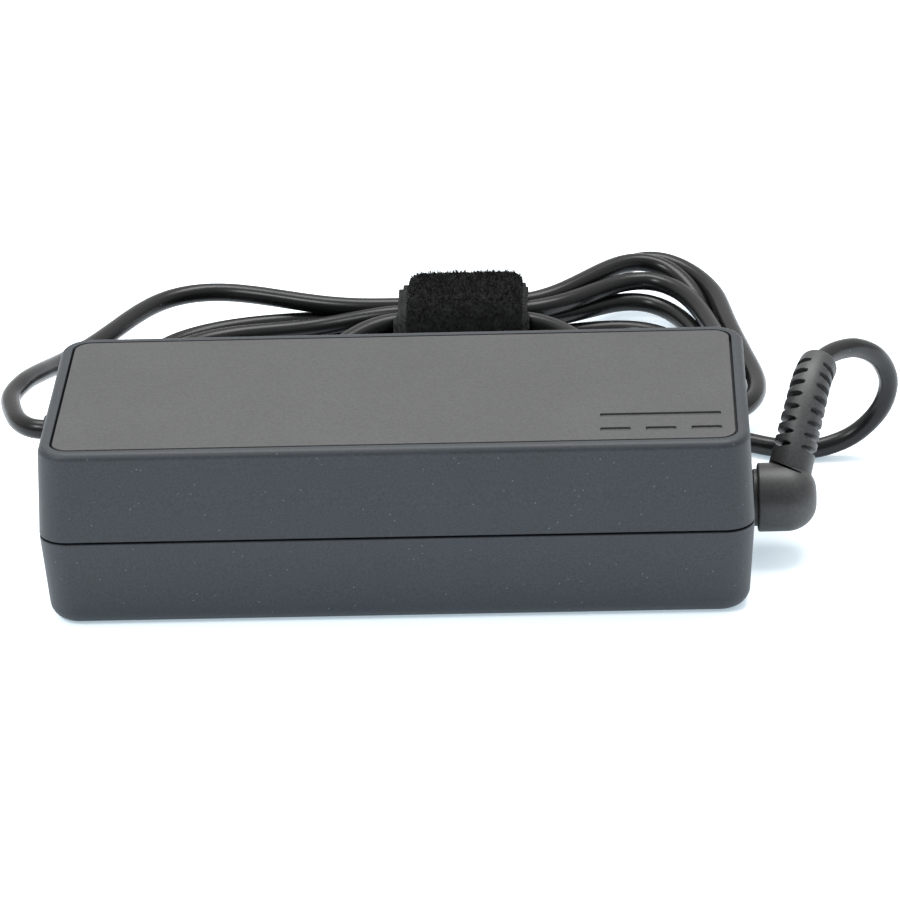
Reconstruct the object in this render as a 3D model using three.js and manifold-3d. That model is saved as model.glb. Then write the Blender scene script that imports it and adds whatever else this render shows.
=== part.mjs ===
// A laptop power adapter: a two-part moulded case with its mains inlet and circuit inside, a captive
// low-voltage cord wound into a hank behind it, and the cord's right-angle plug parked in the inlet.
// Millimetres. Origin at the middle of the case's underside, +X to the inlet end, +Y to the hank, +Z up.
import * as THREE from "three";
import { mergeVertices } from "three/addons/utils/BufferGeometryUtils.js";
import Module from "manifold-3d";

const wasm = await Module();
wasm.setup();

// ---------------------------------------------------------------- driving dimensions
const caseLength = 109.2;
const caseWidth = 46.5;
const caseHeight = 29;
const seamHeight = 14.5;
const seamGap = 0.35;
const cornerRadius = 4.6;
const bottomFillet = 2.6;
const topFillet = 1.1;
const upperDraft = 2.5; // degrees
const lowerDraft = 3.75; // degrees
const wall = 2.2;
const floorThickness = 2;
const ceilingThickness = 1.6; // left under the panel's pocket
const lipThickness = 0.9;
const lipHeight = 1.6;
const clearance = 0.3; // between pieces that rest on or in each other

const rimWidth = 1.8; // of the case's rim round the top panel
const panelThickness = 1.1;
const panelGroove = 0.35; // between the panel and the rim
const panelCornerRadius = 2.6;
const markDepth = 0.3; // of the direct-current symbol pressed into the panel
const markLength = 18.4;
const markEndMargin = 4.8; // from the case's widest outline to the symbol's right end
const markFrontMargin = 5.85; // and to the symbol's front edge

const labelLength = 72;
const labelWidth = 30;
const labelThickness = 0.25;
const labelRecess = 0.1; // how far the label's face lies inside the case's underside

const inletHeight = 11.9; // centre of the three pins
const inletDepth = 12; // of the cavity behind its mouth
const inletSlack = 0.6; // between the parked plug's barrel and the cavity's wall
const inletSetback = 0.8; // of the mouth from the widest part of the case's end
const inletWall = 1.3;
const inletBack = 2.2;
const pinRadius = 1.18;
const pinSpacing = 4.7; // line to neutral
const earthDrop = 4.06; // from the line and neutral pins down to the earth pin
const pinSetback = 2; // of the pins' tips from the mouth
const pinTail = 3; // of the pins behind the socket

const glandY = 15.8;
const glandZ = 16.2;
const glandNeck = 2.9; // radius in the case's wall
const glandFlange = 3.2; // radius inside the case
const glandNose = 2.25; // radius at the outer end
const glandReach = 2.7; // of the nose beyond the case's widest outline
const glandFlangeLength = 1.4;
const glandBoreGap = 0.15; // between the cord and the gland

const boardHeight = 5; // underside of the circuit board
const boardThickness = 1.6;
const boardEndMargin = 2.3; // from the inner end wall at the seam
const boardSideMargin = 1.25; // from the inner side walls at the seam
const boardCorner = 2;
const filmThickness = 0.4;
const spreaderThickness = 0.8;
const spreaderSetback = 2.45; // from the board's ends
const spreaderInset = 0.6; // from the board's sides
const spreaderFold = 6; // of its long sides, downwards

const cordRadius = 1.6;
const plugStandoff = 1; // of the plug head's face from the case's widest outline
const plugHeadLength = 9.2;
const plugHeadDome = 4.8;
const armOffset = 4.1; // of the arm's axis from the head's face
const plugHeadRadius = 5.4;
const collarLength = 0.7;
const collarRadius = 4.5;
const barrelRadius = 2.75;
const barrelWall = 0.4;
const barrelLength = 9.5; // beyond the head's face
const barrelRoot = 5.5; // of the barrel inside the plug's head
const insulatorWall = 0.35;
const insulatorRoot = 1.5; // length of its ring about the contact's root
const insulatorFit = 0.26; // between that ring and the contact
const contactFit = 0.12; // between the contact and the pin that it slides over
const contactWall = 0.14;
const bootBaseRadius = 3.55;
const bootTipRadius = 3.05;
const slotCount = 8;
const slotPitch = 1.95;
const slotWidth = 0.85;
const slotDepth = 1.25;
const firstSlot = 7.7; // along the arm from the head's axis
const spineWidth = 2.2; // left uncut along the arm's top and underside

const strapX = 7.7;
const strapWidth = 23.2;
const strapY = 79.5;
const strapThickness = 1.7;
const bundleWidth = 13; // of the cord's runs inside the strap
const bundleHeight = 9.1;
const hankHeight = 12;
const cordLift = 0.1; // of the cord's solids above the surface

// ---------------------------------------------------------------- sizes worked out from them
const halfLength = caseLength / 2;
const halfWidth = caseWidth / 2;
const radians = Math.PI / 180;
const panelPocket = panelThickness + clearance;
const ceiling = caseHeight - panelPocket - ceilingThickness;
const boardTop = boardHeight + boardThickness;
const partsFloor = boardTop + clearance;
const spreaderBottom = ceiling - clearance - spreaderThickness;
const inletMouth = halfLength - inletSetback;
const inletInner = inletMouth - inletDepth;
const inletLobeRadius = barrelRadius + inletSlack;
const inletOuterRadius = inletLobeRadius + inletWall;
const linePinZ = inletHeight + earthDrop / 3;
const earthPinZ = linePinZ - earthDrop;
const pinStart = inletInner - inletBack - pinTail;
const markRight = halfLength - markEndMargin;
const markFront = markFrontMargin - halfWidth;
const boardStart = wall + boardEndMargin - halfLength;
const boardEnd = pinStart - 2 * clearance;
const boardWidth = 2 * (halfWidth - wall - boardSideMargin);
const plugZ = earthPinZ; // the parked plug's barrel stands over the earth pin
const plugMouth = halfLength + plugStandoff;
const plugAxisX = plugMouth + armOffset;
const contactRadius = pinRadius + contactFit;
const pinPlaces = {
  line: [pinSpacing / 2, linePinZ],
  neutral: [-pinSpacing / 2, linePinZ],
  earth: [0, earthPinZ],
};

// ---------------------------------------------------------------- routes of the free cord
const bootRoute = [
  [0, 0, 0],
  [2, 4.5, 6.5],
  [3.8, 9.1, 11.5],
  [5, 13.2, 14],
  [6.3, 17.2, 15],
].map(([x, y, z]) => [plugAxisX + x, y, plugZ + z]);
const startRoute = [
  [-57.8, 15.8, 16.2],
  [-59.4, 16.4, 16.2],
  [-61.5, 18.8, 16.1],
  [-63.2, 23.4, 16],
  [-64.2, 29.3, 15.9],
  [-63, 36.4, 15.4],
  [-61.2, 44, 13.8],
  [-59.4, 51.9, 11.6],
  [-57.9, 56.9, 10.5],
  [-56.2, 61.3, 9.8],
];
const endRoute = [
  [49.3, 40.3, 1.7],
  [52, 38.9, 1.7],
  [55.9, 36.8, 1.7],
  [59.7, 34.9, 1.7],
  [63.4, 34, 1.72],
  [67, 34.1, 1.9],
  [71.8, 34.6, 3.5],
  [74.9, 34.7, 6],
  [77.1, 34, 9.5],
  [77.9, 32.5, 14.4],
  [76, 30, 19.5],
  [72.4, 26.4, 22.8],
  [69.2, 22.7, 24],
  [67.5, 20.2, 24.3],
  [66.3, 18, 24.3],
];

// ---------------------------------------------------------------- helpers: solids from three.js geometry
function solidOf(geometry) {
  const bare = geometry.clone();
  bare.deleteAttribute("normal");
  bare.deleteAttribute("uv");
  const merged = mergeVertices(bare, 1e-4);
  return new wasm.Manifold(
    new wasm.Mesh({
      numProp: 3,
      vertProperties: new Float32Array(merged.attributes.position.array),
      triVerts: new Uint32Array(merged.index.array),
    }),
  );
}

function geometryOf(solid) {
  const mesh = solid.getMesh();
  const geometry = new THREE.BufferGeometry();
  geometry.setAttribute("position", new THREE.BufferAttribute(mesh.vertProperties, 3));
  geometry.setIndex(new THREE.BufferAttribute(mesh.triVerts, 1));
  geometry.computeVertexNormals();
  return geometry;
}

function boxBetween(low, high) {
  const geometry = new THREE.BoxGeometry(high[0] - low[0], high[1] - low[1], high[2] - low[2]);
  geometry.translate((low[0] + high[0]) / 2, (low[1] + high[1]) / 2, (low[2] + high[2]) / 2);
  return solidOf(geometry);
}

// A solid turned from [axial, radius] points round the given axis, from the point "at".
function turned(profile, axis, at, sides = 24) {
  const geometry = new THREE.LatheGeometry(
    profile.map(([along, radius]) => new THREE.Vector2(radius, along)),
    sides,
  );
  if (axis === "x") geometry.rotateZ(-Math.PI / 2);
  if (axis === "z") geometry.rotateX(Math.PI / 2);
  geometry.translate(at[0], at[1], at[2]);
  const solid = solidOf(geometry);
  if (solid.volume() > 0) return solid;
  geometry.index.array.reverse();
  return solidOf(geometry);
}

function rod(radius, length, axis, at, sides = 24) {
  const profile = [
    [0, 0],
    [0, radius],
    [length, radius],
    [length, 0],
  ];
  return turned(profile, axis, at, sides);
}

function pipe(outer, inner, length, axis, at, sides = 24) {
  const profile = [
    [0, inner],
    [0, outer],
    [length, outer],
    [length, inner],
    [0, inner],
  ];
  return turned(profile, axis, at, sides);
}

// A closed skin over rings of points, all with the same number of points and seen from the last
// ring's side in anticlockwise order.
function loft(rings) {
  const count = rings[0].length;
  const positions = rings.flat().flatMap((p) => [p.x, p.y, p.z]);
  const index = [];
  for (let r = 0; r + 1 < rings.length; r++) {
    for (let i = 0; i < count; i++) {
      const a = r * count + i;
      const b = r * count + ((i + 1) % count);
      index.push(a, b, b + count, a, b + count, a + count);
    }
  }
  const last = (rings.length - 1) * count;
  for (let i = 1; i + 1 < count; i++) {
    index.push(0, i + 1, i);
    index.push(last, last + i, last + i + 1);
  }
  const geometry = new THREE.BufferGeometry();
  geometry.setAttribute("position", new THREE.Float32BufferAttribute(positions, 3));
  geometry.setIndex(index);
  return solidOf(geometry);
}

// The points of a rounded rectangle at height z, anticlockwise seen from above.
function roundedRing(halfX, halfY, radius, z, steps = 5) {
  const ring = [];
  const corners = [
    [1, 1],
    [-1, 1],
    [-1, -1],
    [1, -1],
  ];
  corners.forEach(([sx, sy], quarter) => {
    for (let i = 0; i <= steps; i++) {
      const angle = (quarter + i / steps) * (Math.PI / 2);
      const x = sx * (halfX - radius) + radius * Math.cos(angle);
      const y = sy * (halfY - radius) + radius * Math.sin(angle);
      ring.push(new THREE.Vector3(x, y, z));
    }
  });
  return ring;
}

// A plate with rounded corners, its middle at (x, y), from height low to high.
function roundedPlate(sizeX, sizeY, radius, x, y, low, high) {
  const rings = [low, high].map((z) => roundedRing(sizeX / 2, sizeY / 2, radius, z));
  rings.flat().forEach((p) => p.add(new THREE.Vector3(x, y, 0)));
  return loft(rings);
}

function curveThrough(points) {
  return new THREE.CatmullRomCurve3(points.map((p) => new THREE.Vector3(...p)));
}

// A cord or wire along a curve, as an extruded round section.
function tube(points, radius, steps, sides = 8) {
  const section = new THREE.Shape();
  for (let i = 0; i < sides; i++) {
    const angle = ((i + 0.5) / sides) * Math.PI * 2;
    const x = radius * Math.cos(angle);
    const y = radius * Math.sin(angle);
    if (i === 0) section.moveTo(x, y);
    else section.lineTo(x, y);
  }
  section.closePath();
  const geometry = new THREE.ExtrudeGeometry(section, {
    steps,
    extrudePath: curveThrough(points),
    bevelEnabled: false,
    curveSegments: 1,
  });
  return solidOf(geometry);
}

function plate(shape, depth, steps = 8) {
  return new THREE.ExtrudeGeometry(shape, { depth, bevelEnabled: false, curveSegments: steps });
}

// ---------------------------------------------------------------- materials
function material(color, roughness, metalness = 0) {
  return new THREE.MeshStandardMaterial({ color, roughness, metalness });
}
const look = {
  casing: () => material(0x3f4346, 0.62),
  panel: () => material(0x55565a, 0.7),
  overmould: () => material(0x333638, 0.55),
  cord: () => material(0x2a2c2d, 0.5),
  strap: () => material(0x17181a, 0.95),
  label: () => material(0x8a8c8e, 0.5),
  socket: () => material(0x1c1d1e, 0.6),
  brass: () => material(0xb5b0a2, 0.3, 1),
  nickel: () => material(0xc9cbcc, 0.25, 1),
  board: () => material(0x1f5a34, 0.5),
  film: () => material(0xd8d2b0, 0.4),
  aluminium: () => material(0xb9bcbf, 0.4, 1),
  ferrite: () => material(0x3a3b3e, 0.7),
  copper: () => material(0xb4683a, 0.4, 1),
  tape: () => material(0xd9b233, 0.4),
  chip: () => material(0x202122, 0.5),
  capacitor: () => material(0x1d2a55, 0.4),
  film_capacitor: () => material(0xc9a63a, 0.5),
  ceramic: () => material(0x2f62a8, 0.5),
  fuse: () => material(0xcfc9b8, 0.4),
  wire: () => material(0x7a2020, 0.5),
};

const adapter = new THREE.Group();
adapter.name = "laptop_power_adapter";

function add(name, solid, kind) {
  const mesh = new THREE.Mesh(geometryOf(solid), look[kind]());
  mesh.name = name;
  adapter.add(mesh);
}

// ---------------------------------------------------------------- the case
// How far the case's side lies inside its widest outline at height z.
function draftAt(z) {
  const above = Math.max(z - seamHeight, 0) * Math.tan(upperDraft * radians);
  const below = Math.max(seamHeight - z, 0) * Math.tan(lowerDraft * radians);
  return above + below;
}

function caseRing(z, inset, radius = cornerRadius) {
  const shrink = draftAt(z) + inset;
  return roundedRing(halfLength - shrink, halfWidth - shrink, Math.max(radius - inset, 1), z);
}

function upperOutside(low) {
  const rings = [caseRing(low, 0), caseRing(caseHeight - topFillet, 0)];
  for (const turn of [30, 60, 90]) {
    const z = caseHeight - topFillet * (1 - Math.sin(turn * radians));
    rings.push(caseRing(z, topFillet * (1 - Math.cos(turn * radians))));
  }
  return loft(rings);
}

function lowerOutside(high) {
  const rings = [];
  for (const turn of [90, 67.5, 45, 22.5, 0]) {
    const z = bottomFillet * (1 - Math.sin(turn * radians));
    rings.push(caseRing(z, bottomFillet * (1 - Math.cos(turn * radians))));
  }
  rings.push(caseRing(high, 0));
  return loft(rings);
}

function insetSolid(inset, low, high) {
  return loft([caseRing(low, inset), caseRing(high, inset)]);
}

// The hole that the inlet socket fills, through the right end.
function inletHole() {
  return inletOutline(inletOuterRadius + clearance, inletInner - 1, halfLength + 1);
}

function glandHole() {
  return rod(glandNeck + clearance, 12, "x", [-halfLength - 2, glandY, glandZ], 20);
}

const panelHalfX = halfLength - draftAt(caseHeight) - rimWidth;
const panelHalfY = halfWidth - draftAt(caseHeight) - rimWidth;

function upperShell() {
  const low = seamHeight + seamGap / 2;
  const rebateTop = seamHeight + lipHeight + clearance;
  const pocket = roundedPlate(
    panelHalfX * 2,
    panelHalfY * 2,
    panelCornerRadius + panelGroove,
    0,
    0,
    caseHeight - panelPocket,
    caseHeight + 1,
  );
  return upperOutside(low)
    .subtract(insetSolid(wall, low - 1, ceiling))
    .subtract(insetSolid(wall - lipThickness - clearance, low - 1, rebateTop))
    .subtract(pocket)
    .subtract(inletHole())
    .subtract(glandHole());
}

function lowerShell() {
  const high = seamHeight - seamGap / 2;
  const lip = insetSolid(wall - lipThickness, high - 1, seamHeight + lipHeight).subtract(
    insetSolid(wall, high - 2, seamHeight + lipHeight + 1),
  );
  const labelPocket = labelPlate(clearance, -1, labelRecess + labelThickness + clearance);
  return lowerOutside(high)
    .subtract(insetSolid(wall, floorThickness, high + 1))
    .add(lip)
    .subtract(labelPocket)
    .subtract(inletHole())
    .subtract(glandHole());
}

function labelPlate(margin, low, high) {
  const radius = 1.5 + margin;
  return roundedPlate(labelLength + 2 * margin, labelWidth + 2 * margin, radius, 0, 0, low, high);
}

// The top panel, with the symbol for direct current pressed into it: a bar over three dashes.
function topPanel() {
  const low = caseHeight - panelThickness;
  let panel = roundedPlate(
    (panelHalfX - panelGroove) * 2,
    (panelHalfY - panelGroove) * 2,
    panelCornerRadius,
    0,
    0,
    low,
    caseHeight,
  );
  const barWidth = 1.3;
  const dashCount = 3;
  const dashLength = markLength / (dashCount + (dashCount - 1) / 2);
  const lineSpacing = 5.2;
  const cut = caseHeight - markDepth;
  const left = markRight - markLength;
  const backY = markFront + lineSpacing;
  panel = panel.subtract(boxBetween([left, backY, cut], [markRight, backY + barWidth, caseHeight + 1]));
  for (let i = 0; i < dashCount; i++) {
    const start = left + i * 1.5 * dashLength;
    const high = [start + dashLength, markFront + barWidth, caseHeight + 1];
    panel = panel.subtract(boxBetween([start, markFront, cut], high));
  }
  return panel;
}

add("upper_shell", upperShell(), "casing");
add("lower_shell", lowerShell(), "casing");
add("top_panel", topPanel(), "panel");
add("rating_label", labelPlate(0, labelRecess, labelRecess + labelThickness), "label");

// ---------------------------------------------------------------- the mains inlet
// Three round lobes about the pins and the space between them, from x = start to end.
function inletOutline(radius, start, end) {
  const lobes = Object.values(pinPlaces).map(([y, z]) =>
    rod(radius, end - start, "x", [start, y, z], 24),
  );
  const middle = rod(radius, end - start, "x", [start, 0, inletHeight], 24);
  return lobes.reduce((sum, lobe) => sum.add(lobe), middle);
}

function inletSocket() {
  const back = inletInner - inletBack;
  let socket = inletOutline(inletOuterRadius, back, inletMouth).subtract(
    inletOutline(inletLobeRadius, inletInner, inletMouth + 1),
  );
  for (const [y, z] of Object.values(pinPlaces)) {
    socket = socket.subtract(rod(pinRadius + clearance, 20, "x", [back - 5, y, z], 16));
  }
  return socket;
}

function inletPin([y, z]) {
  const length = inletMouth - pinSetback - pinStart;
  const nose = 0.7;
  const profile = [
    [0, 0],
    [0, pinRadius],
    [length - nose, pinRadius],
    [length, pinRadius / 2],
    [length, 0],
  ];
  return turned(profile, "x", [pinStart, y, z], 16);
}

add("inlet_socket", inletSocket(), "socket");
for (const [name, place] of Object.entries(pinPlaces)) {
  add("inlet_pin_" + name, inletPin(place), "brass");
}

// ---------------------------------------------------------------- the cord's strain relief
const glandFlangeStart = draftAt(glandZ) + wall + clearance - halfLength;
const glandEnd = glandFlangeStart + glandFlangeLength;

function cordGland() {
  const outerEnd = -halfLength - glandReach;
  const noseStart = -halfLength - 0.4;
  const bore = cordRadius + glandBoreGap;
  const profile = [
    [outerEnd, bore],
    [outerEnd, glandNose],
    [noseStart, glandNeck],
    [glandFlangeStart, glandNeck],
    [glandFlangeStart, glandFlange],
    [glandEnd, glandFlange],
    [glandEnd, bore],
    [outerEnd, bore],
  ];
  return turned(profile, "x", [0, glandY, glandZ], 20);
}
add("cord_gland", cordGland(), "overmould");

// ---------------------------------------------------------------- the circuit inside
const boardMiddle = (boardStart + boardEnd) / 2;
const boardSide = boardWidth / 2;

function board() {
  const length = boardEnd - boardStart;
  return roundedPlate(length, boardWidth, boardCorner, boardMiddle, 0, boardHeight, boardTop);
}

function insulatingFilm() {
  const low = (floorThickness + boardHeight - filmThickness) / 2;
  const length = boardEnd - boardStart + 1;
  const high = low + filmThickness;
  return roundedPlate(length, boardWidth, boardCorner, boardMiddle, 0, low, high);
}

// A thin plate under the ceiling with its long sides folded down.
function heatSpreader() {
  const width = boardWidth - 2 * spreaderInset;
  const start = boardStart + spreaderSetback;
  const end = boardEnd - spreaderSetback;
  const top = spreaderBottom + spreaderThickness;
  let spreader = boxBetween([start, -width / 2, spreaderBottom], [end, width / 2, top]);
  for (const side of [-1, 1]) {
    const outer = (side * width) / 2;
    const inner = outer - side * spreaderThickness;
    const low = [start, Math.min(outer, inner), top - spreaderFold];
    spreader = spreader.add(boxBetween(low, [end, Math.max(outer, inner), top]));
  }
  return spreader;
}

// An upright aluminium plate with a foot along the board, on the side -1 or 1 of it.
function uprightPlate(start, length, y, side) {
  const foot = 2;
  const footHeight = 1.2;
  const end = start + length;
  const back = y + plateThickness;
  const panel = boxBetween([start, y, partsFloor], [end, back, partsFloor + plateHeight]);
  const footEdge = (y + back + side * plateThickness) / 2 + side * foot;
  const low = [start, Math.min(y, footEdge), partsFloor];
  return panel.add(boxBetween(low, [end, Math.max(back, footEdge), partsFloor + footHeight]));
}

const packageDepth = 4.2;

// A flat power package standing on its three legs, its face along Y.
function powerPackage(x, y) {
  const width = 10;
  const bodyHeight = 9.5;
  const legPitch = 2.5;
  const legWidth = 0.8;
  const legDepth = 0.6;
  const low = partsFloor + 4;
  let body = boxBetween([x, y, low], [x + width, y + packageDepth, low + bodyHeight]);
  for (const place of [-1, 0, 1]) {
    const legX = x + width / 2 + place * legPitch - legWidth / 2;
    const legY = y + packageDepth / 2 - legDepth / 2;
    const leg = boxBetween([legX, legY, partsFloor], [legX + legWidth, legY + legDepth, low + 1]);
    body = body.add(leg);
  }
  return body;
}

function block(start, size) {
  const low = [start[0], start[1], partsFloor + (start[2] || 0)];
  return boxBetween(low, [low[0] + size[0], low[1] + size[1], low[2] + size[2]]);
}

function upright(radius, height, x, y) {
  return rod(radius, height, "z", [x, y, partsFloor], 24);
}

// A can lying along Y just above the board.
function lyingCapacitor(radius, length, x, start) {
  return rod(radius, length, "y", [x, start, partsFloor + radius + 0.1], 28);
}

const transformer = {
  x: boardMiddle - 8.45, // middle
  front: -17.5,
  plate: 3.6, // thickness of a core half's back
  legs: 8, // length of a half's legs
  width: 24,
  leg: 3.6,
  centreLeg: 7.4,
  depth: 12, // of the core along Z
};
transformer.z = partsFloor + 8.6;
transformer.middle = transformer.front + transformer.plate + transformer.legs;

// One E-shaped half of the core. side is -1 for the front half, 1 for the rear one.
function coreHalf(side) {
  const { x, z, plate: back, legs, width, leg, centreLeg, depth, middle } = transformer;
  const joint = middle + (side * clearance) / 2;
  const tip = joint + side * legs;
  const outer = tip + side * back;
  const span = (a, b, halfX, offset = 0) =>
    boxBetween(
      [x + offset - halfX, Math.min(a, b), z - depth / 2],
      [x + offset + halfX, Math.max(a, b), z + depth / 2],
    );
  let half = span(tip, outer, width / 2);
  half = half.add(span(joint, tip + side * 0.5, centreLeg / 2));
  for (const wing of [-1, 1]) {
    half = half.add(span(joint, tip + side * 0.5, leg / 2, (wing * (width - leg)) / 2));
  }
  return half;
}

const bobbinWall = 0.7;
const bobbinFlange = 0.9;
const windowHalf = transformer.width / 2 - transformer.leg; // from the axis to an outer leg

function ringBlock(halfX, halfZ, holeX, holeZ, start, end) {
  const { x, z } = transformer;
  const outer = boxBetween([x - halfX, start, z - halfZ], [x + halfX, end, z + halfZ]);
  return outer.subtract(
    boxBetween([x - holeX, start - 1, z - holeZ], [x + holeX, end + 1, z + holeZ]),
  );
}

function bobbin() {
  const { middle, legs, centreLeg, depth } = transformer;
  const holeX = centreLeg / 2 + clearance;
  const holeZ = depth / 2 + clearance;
  const half = legs - clearance;
  const flangeX = windowHalf - clearance;
  const flangeZ = 8.2;
  const body = ringBlock(
    holeX + bobbinWall,
    holeZ + bobbinWall,
    holeX,
    holeZ,
    middle - half,
    middle + half,
  );
  return [-1, 1].reduce((sum, side) => {
    const inner = middle + side * (half - bobbinFlange);
    const outer = middle + side * half;
    const start = Math.min(inner, outer);
    return sum.add(
      ringBlock(flangeX, flangeZ, holeX, holeZ, start, start + bobbinFlange),
    );
  }, body);
}

function winding() {
  const { middle, legs, centreLeg, depth } = transformer;
  const holeX = centreLeg / 2 + bobbinWall + 2 * clearance;
  const holeZ = depth / 2 + bobbinWall + 2 * clearance;
  const half = legs - bobbinFlange - 2 * clearance;
  return ringBlock(windowHalf - 2 * clearance, 8, holeX, holeZ, middle - half, middle + half);
}

// The two-part choke on the mains side: a ferrite ring standing on edge with a coil on each half.
const choke = { x: boardEnd - 15.4, y: -9.5, ring: 5.4, thickness: 4.4, height: 5 };
choke.z = partsFloor + choke.ring + choke.thickness / 2 + 1.6;

function chokeRing(extra) {
  const inner = choke.ring - choke.thickness / 2 - extra;
  const outer = choke.ring + choke.thickness / 2 + extra;
  const half = choke.height / 2 + extra;
  return pipe(outer, inner, half * 2, "x", [choke.x - half, choke.y, choke.z], 24);
}

function chokeWinding(side) {
  const coil = chokeRing(1.1).subtract(chokeRing(clearance));
  const size = 12;
  const low = choke.y + (side > 0 ? 1.8 : -size);
  const high = choke.y + (side > 0 ? size : -1.8);
  const keep = boxBetween(
    [choke.x - size, low, choke.z - size],
    [choke.x + size, high, choke.z + size],
  );
  return coil.intersect(keep);
}

// Four legs in a row under a flat block.
function bridgeRectifier() {
  const start = boardEnd - 18.9;
  let bridge = block([start, 6.4, 3], [14, 3.4, 10]);
  for (const offset of [1.2, 4.9, 8.6, 12.1]) {
    bridge = bridge.add(block([start + offset, 7.8], [0.8, 0.6, 3.5]));
  }
  return bridge;
}

function discOnLegs(x, y, radius, thickness) {
  const z = partsFloor + radius + 1;
  let disc = rod(radius, thickness, "x", [x, y, z], 20);
  for (const side of [-1, 1]) {
    const low = [x + thickness / 2 - 0.3, y + side * radius * 0.6 - 0.3, partsFloor];
    disc = disc.add(boxBetween(low, [low[0] + 0.6, low[1] + 0.6, z]));
  }
  return disc;
}

function fuse() {
  const length = 9;
  const cap = 1.8;
  const capRadius = 2.4;
  const glassRadius = 2.1;
  const profile = [
    [0, 0],
    [0, capRadius],
    [cap, capRadius],
    [cap, glassRadius],
    [length - cap, glassRadius],
    [length - cap, capRadius],
    [length, capRadius],
    [length, 0],
  ];
  return turned(profile, "x", [boardEnd - 12.9, boardSide - 4.2, partsFloor + 2.6], 16);
}

// The parts stand at places from the board's output end, its middle or its inlet end.
const fromOutput = (x) => boardStart + x;
const fromMiddle = (x) => boardMiddle + x;
const fromInlet = (x) => boardEnd - x;
const plateThickness = 1.5;
const plateHeight = 15.8;
const primaryPlateY = boardSide - 4.6;
const secondaryPlateY = 2 - boardSide;
const transistorY = primaryPlateY - clearance - packageDepth;
const rectifierY = secondaryPlateY + plateThickness + clearance;

const parts = {
  main_circuit_board: [board(), "board"],
  insulating_film: [insulatingFilm(), "film"],
  top_heat_spreader: [heatSpreader(), "aluminium"],
  primary_heatsink: [uprightPlate(fromMiddle(-19.95), 39, primaryPlateY, 1), "aluminium"],
  secondary_heatsink: [uprightPlate(fromOutput(3.5), 15, secondaryPlateY, -1), "aluminium"],
  line_fuse: [fuse(), "fuse"],
  inrush_thermistor: [discOnLegs(fromInlet(6.8), 1.6, 3.4, 3), "chip"],
  x_capacitor: [block([fromInlet(9.8), 2 - boardSide], [7, 15.4, 13]), "film_capacitor"],
  emi_choke_core: [chokeRing(0), "ferrite"],
  emi_choke_winding_line: [chokeWinding(1), "copper"],
  emi_choke_winding_neutral: [chokeWinding(-1), "copper"],
  bridge_rectifier: [bridgeRectifier(), "chip"],
  bulk_capacitor: [lyingCapacitor(8.4, 27, fromMiddle(13.05), -16.4), "capacitor"],
  switching_transistor: [powerPackage(fromMiddle(-14.95), transistorY), "chip"],
  transformer_core_front: [coreHalf(-1), "ferrite"],
  transformer_core_rear: [coreHalf(1), "ferrite"],
  transformer_bobbin: [bobbin(), "chip"],
  transformer_winding: [winding(), "tape"],
  y_capacitor: [discOnLegs(fromMiddle(-1.95), 10.6, 3.4, 2.6), "ceramic"],
  output_rectifier: [powerPackage(fromOutput(6), rectifierY), "chip"],
  output_choke: [upright(4, 9, fromOutput(15.9), -6), "ferrite"],
  output_capacitor_1: [upright(4.9, 16, fromOutput(5.9), -5.6), "capacitor"],
  output_capacitor_2: [upright(4.9, 16, fromOutput(5.9), 4.9), "capacitor"],
  optocoupler: [block([fromOutput(13.5), 3], [6.4, 4.6, 3.4]), "chip"],
  controller_chip: [block([fromOutput(13.5), 10.4], [5, 4, 1.5]), "chip"],
};
for (const [name, [solid, kind]] of Object.entries(parts)) add(name, solid, kind);

// ---------------------------------------------------------------- the inner wires
const wireRadius = 0.6;
const wireSteps = 8;

function wire(points) {
  return tube(points, wireRadius, wireSteps, 6);
}

function inletLead([y, z], padY) {
  const start = pinStart - 2 * clearance;
  const padX = boardEnd - 1.2;
  return wire([
    [start, y, z],
    [start - 0.7, (3 * y + padY) / 4, z - 0.2],
    [padX, (y + padY) / 2, (z + partsFloor) / 2],
    [padX, padY, partsFloor],
  ]);
}
add("inlet_lead_line", inletLead(pinPlaces.line, 4.5), "wire");
add("inlet_lead_neutral", inletLead(pinPlaces.neutral, -4.5), "wire");
add("inlet_lead_earth", inletLead(pinPlaces.earth, 0), "wire");

function outputLead(offset, padY) {
  const start = glandEnd + clearance;
  return wire([
    [start, glandY + offset, glandZ],
    [start + 2.5, glandY + offset, glandZ],
    [start + 5, padY, glandZ - 4],
    [start + 5.5, padY, partsFloor],
  ]);
}
add("output_lead_positive", outputLead(-0.9, glandY - 0.4), "wire");
add("output_lead_negative", outputLead(0.9, glandY + 2), "wire");

// ---------------------------------------------------------------- the plug
const barrelTip = plugMouth - barrelLength;

// Turns a geometry built about the origin, its length along Z, onto the curve at distance s.
function placeOnCurve(geometry, curve, s) {
  const share = s / curve.getLength();
  const at = curve.getPointAt(share);
  const along = curve.getTangentAt(share);
  const side = new THREE.Vector3(1, 0, 0);
  const across = new THREE.Vector3().crossVectors(along, side).normalize();
  side.crossVectors(across, along);
  const matrix = new THREE.Matrix4().makeBasis(side, across, along).setPosition(at);
  return geometry.applyMatrix4(matrix);
}

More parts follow.
